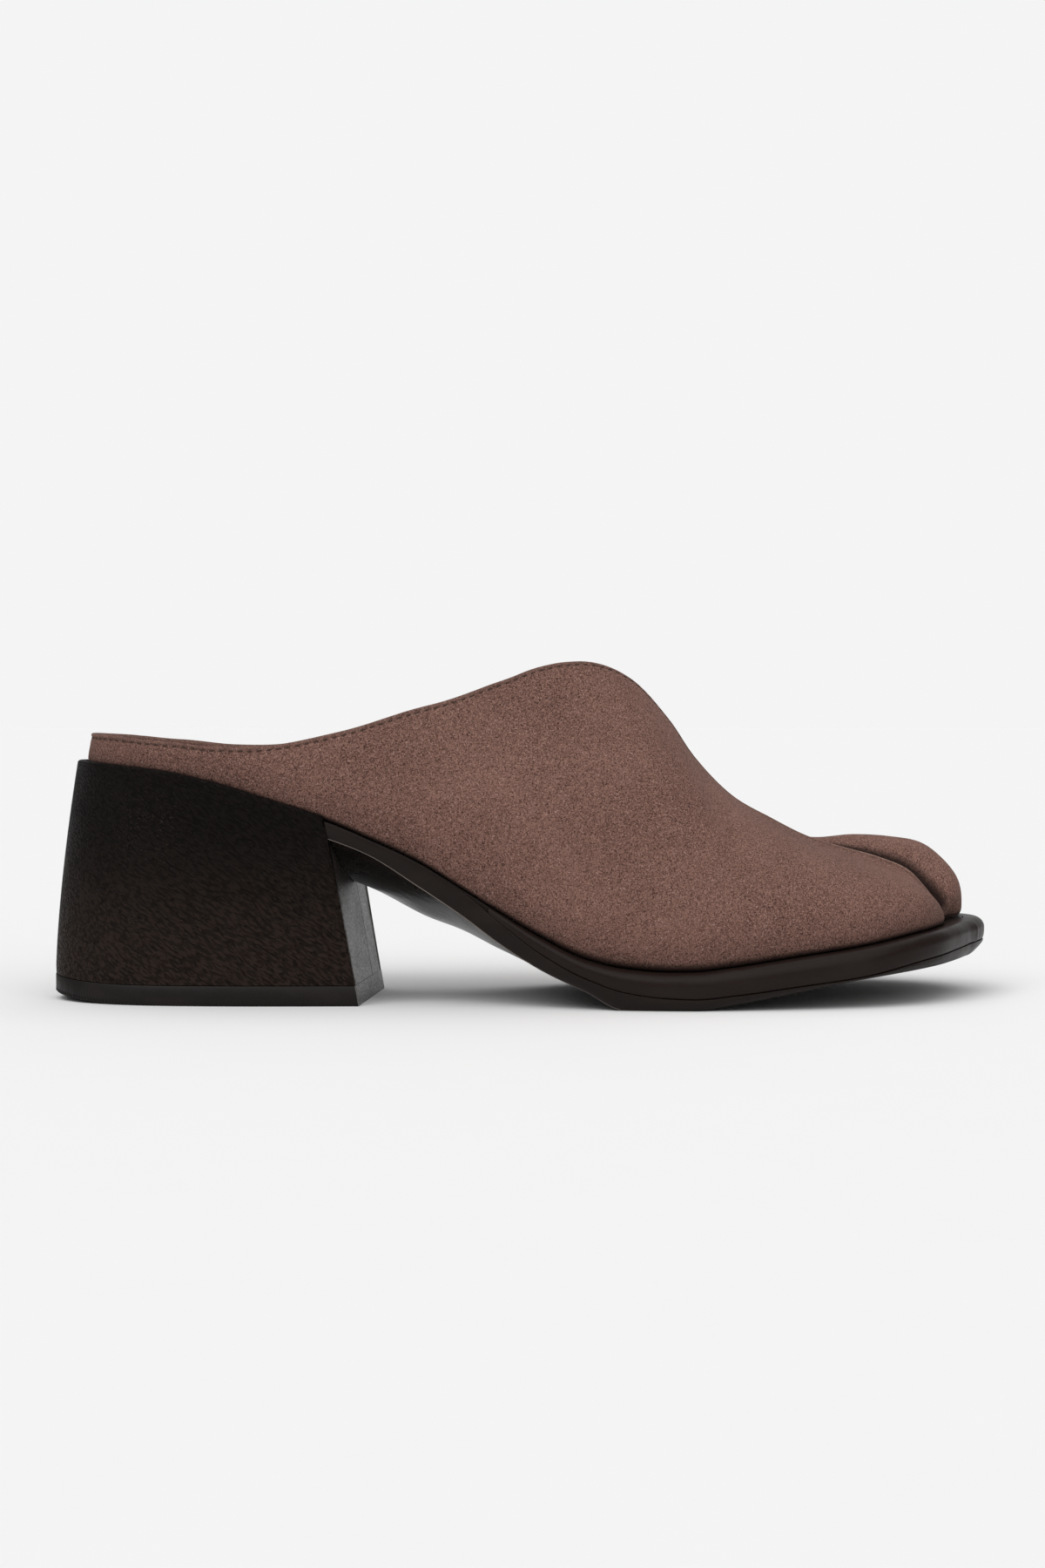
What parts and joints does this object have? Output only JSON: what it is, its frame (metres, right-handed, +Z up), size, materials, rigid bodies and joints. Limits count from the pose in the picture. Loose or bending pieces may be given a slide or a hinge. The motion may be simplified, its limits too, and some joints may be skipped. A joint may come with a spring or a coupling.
{
  "type": "block heel mule",
  "caption": "Backless suede mule for the right foot with a split toe, a round welt bead and a block heel, open at the collar and hollow to the toe.",
  "frame": {"origin": "centre of the footprint's bounding box, on the floor plane", "axes": "+X from heel to toe, +Y towards the inner side of the foot, +Z up"},
  "size_m": [0.2546, 0.0946, 0.0909],
  "materials": {
    "suede": "matt napped suede",
    "sock": "smooth matt",
    "sole": "satin, glossy under the waist",
    "welt": "soft satin",
    "heel": "leather-grained satin",
    "lift": "matt"
  },
  "bodies": {
    "root": {"upper": "suede", "insole": "sock", "outsole": "sole", "welt": "welt", "heel_block": "heel", "top_lift": "lift"}
  },
  "joints": []
}
